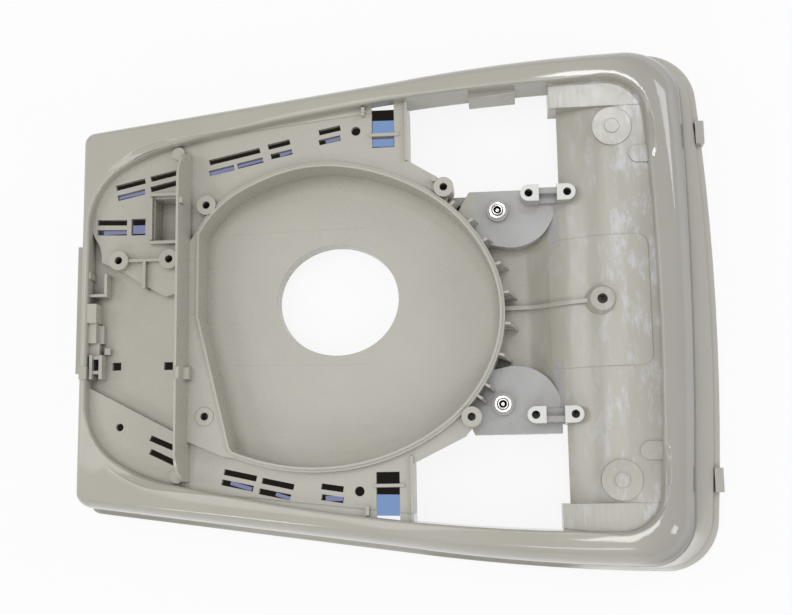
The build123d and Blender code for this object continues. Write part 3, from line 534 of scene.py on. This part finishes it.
def sheet(name, patches, height, material):
    """Flat patches, each from the middle of one short side to the middle of the other, and its width."""
    shape = bmesh.new()
    for x0, y0, x1, y1, width in patches:
        run = Vector((x1 - x0, y1 - y0, 0))
        middle = Matrix.Translation(Vector(((x0 + x1) / 2, (y0 + y1) / 2, height)) * MM)
        turn = Matrix.Rotation(math.atan2(run.y, run.x), 4, "Z")
        size = Matrix.Diagonal((run.length / 2 * MM, width / 2 * MM, 1, 1))
        bmesh.ops.create_grid(shape, x_segments=1, y_segments=1, size=1, matrix=middle @ turn @ size)
    piece = finished(shape, name)
    piece.data.materials.append(material)
    print(name, "has", len(patches), "patches")

def lit_sheet(name, colour, glow_colour, share):
    """A sheet that shows glow_colour to the camera and in reflections, by that share."""
    paint = Finish(name)
    paint.surface(Base_Color=colour, Roughness=0.9)
    seen, mirrored, through = (paint.node("ShaderNodeLightPath", out=ray)
                               for ray in ("Is Camera Ray", "Is Glossy Ray", "Is Transmission Ray"))
    glow = paint.node("ShaderNodeEmission", {}, {"Color": glow_colour, "Strength": 1.0})
    lit = Varying(paint, paint.shader.outputs[0])
    shown = seen.at_least(mirrored).at_least(through) * share
    both = paint.node("ShaderNodeMixShader", {}, {0: shown, 1: lit, 2: glow})
    paint.join(paint.tree.nodes["Material Output"], {"Surface": both})
    return paint.owner

sheet("floor", [(-3000, 0, 3000, 0, 6000)], -0.5, lit_sheet("white sheet", PALE, WHITE, FLOOR_SHARE))

# %% [markdown]
# ## Shade under the deck
# Under the vented deck the table lies in deep shade, so the slots look black, apart from the places
# where daylight creeps in under the part and the slots and windows look blue. Flat patches a little
# above the floor stand for both, the daylight above the shade so that the two never touch.

# %% Shade under the deck
SHADE_Z, DAYLIGHT_Z = -0.3, -0.15
SHADE = (
    (-134, 58, 4, 64, 41), (-60, 74, 4, 80, 20), (-14, 80, 4, 80, 27), (-134, -55, 4, -58, 49),
    (-134, 8, -62, 8, 70),
)
DAYLIGHT = (
    (-133.0, 41.6, -122.2, 41.7, 2.2), (-120.0, 42.5, -113.5, 42.5, 3.9),
    (-126.5, 57.8, -113.8, 60.3, 2.2), (-83.8, 67.4, -72.6, 69.9, 2.3),
    (-70.9, 70.5, -59.4, 73.2, 2.3), (-51.7, 74.8, -45.8, 76.6, 2.3),
    (-30.7, 80.1, -24.1, 81.6, 2.3), (-73.5, -72.0, -64.1, -74.9, 1.7),
    (-53.5, -77.1, -46.9, -79.3, 1.6), (-31.7, -79.3, -24.0, -79.4, 2.2),
)
SKYLIGHT = ((-4.3, 88.5, -4.5, 76.4, 9.6), (-4.4, -78.0, -4.6, -87.0, 10.1))
for name, patches, height, colour, glow_colour in (
    ("shade", SHADE, SHADE_Z, rgb(40, 36, 32), rgb(34, 31, 28)),
    ("daylight", DAYLIGHT, DAYLIGHT_Z, rgb(120, 124, 152), rgb(132, 137, 172)),
    ("skylight", SKYLIGHT, DAYLIGHT_Z, rgb(110, 135, 170), rgb(128, 156, 200)),
):
    sheet(name, patches, height, lit_sheet(name + " on the table", colour, glow_colour, SHADE_SHARE))

# %% [markdown]
# ## Light
# A large soft box overhead and a smaller one on the left light the part evenly. Round them hang
# windows of light, which add little light but draw the crisp bright lines along the polished roll.
# The world fills in the rest, and is white where the camera sees it.

# %% Lamps and world
WORLD_LEVEL = 0.4
DAY = (0.93, 0.96, 1.0)

def lamp(name, direction, distance, size, radiance, colour=(1, 1, 1), along=None):
    """A lamp that faces the part; how bright it looks gives its watts. Its length may lie along a line."""
    light = bpy.data.lights.new(name, "AREA")
    light.shape, light.size, light.size_y = "RECTANGLE", size[0] * MM, size[1] * MM
    light.energy = radiance * math.pi * size[0] * MM * size[1] * MM
    light.color = colour
    item = bpy.data.objects.new(name, light)
    scene.collection.objects.link(item)
    at = Vector(direction).normalized() * distance * MM
    aim = (-at).to_track_quat("-Z", "Y").to_matrix()
    if along:
        out = at.normalized()
        across = Vector(along).cross(out).normalized()
        aim = Matrix((across, out.cross(across), out)).transposed()
    item.matrix_world = Matrix.Translation(at) @ aim.to_4x4()

def studio():
    sky = Finish("studio", bpy.data.worlds.new("studio"))
    seen = sky.node("ShaderNodeLightPath", out="Is Camera Ray")
    level = sky.node("ShaderNodeMapRange", {}, {"Value": seen, "To Min": WORLD_LEVEL, "To Max": 1.0})
    sky.surface(Color=WHITE, Strength=level)
    return sky.owner

lamp("overhead box", (-180, 110, 1190), 1209, (620, 480), 2.2)
lamp("left box", (-0.72, 0.1, 0.68), 1100, (460, 460), 2.8)
lamp("rear ceiling window", (200, 470, 1157), 1265, (170, 110), 14, DAY)
lamp("front left window", (-0.35, -0.75, 0.57), 1200, (215, 300), 9, DAY)
lamp("front window", (0.12, -0.44, 0.89), 1200, (220, 300), 5, DAY)
lamp("right window", (1000, 546, 595), 1285, (290, 640), 5, DAY, along=(0.62, -0.37, -0.69))
lamp("right front window", (994, -553, 701), 1335, (150, 420), 7, DAY)
lamp("ceiling lamp", (222, -182, 1210), 1239, (150, 110), 9)
scene.world = studio()
scene.view_settings.view_transform = "Standard"
print("studio with", len(bpy.data.lights), "lamps")

# %% [markdown]
# ## The end
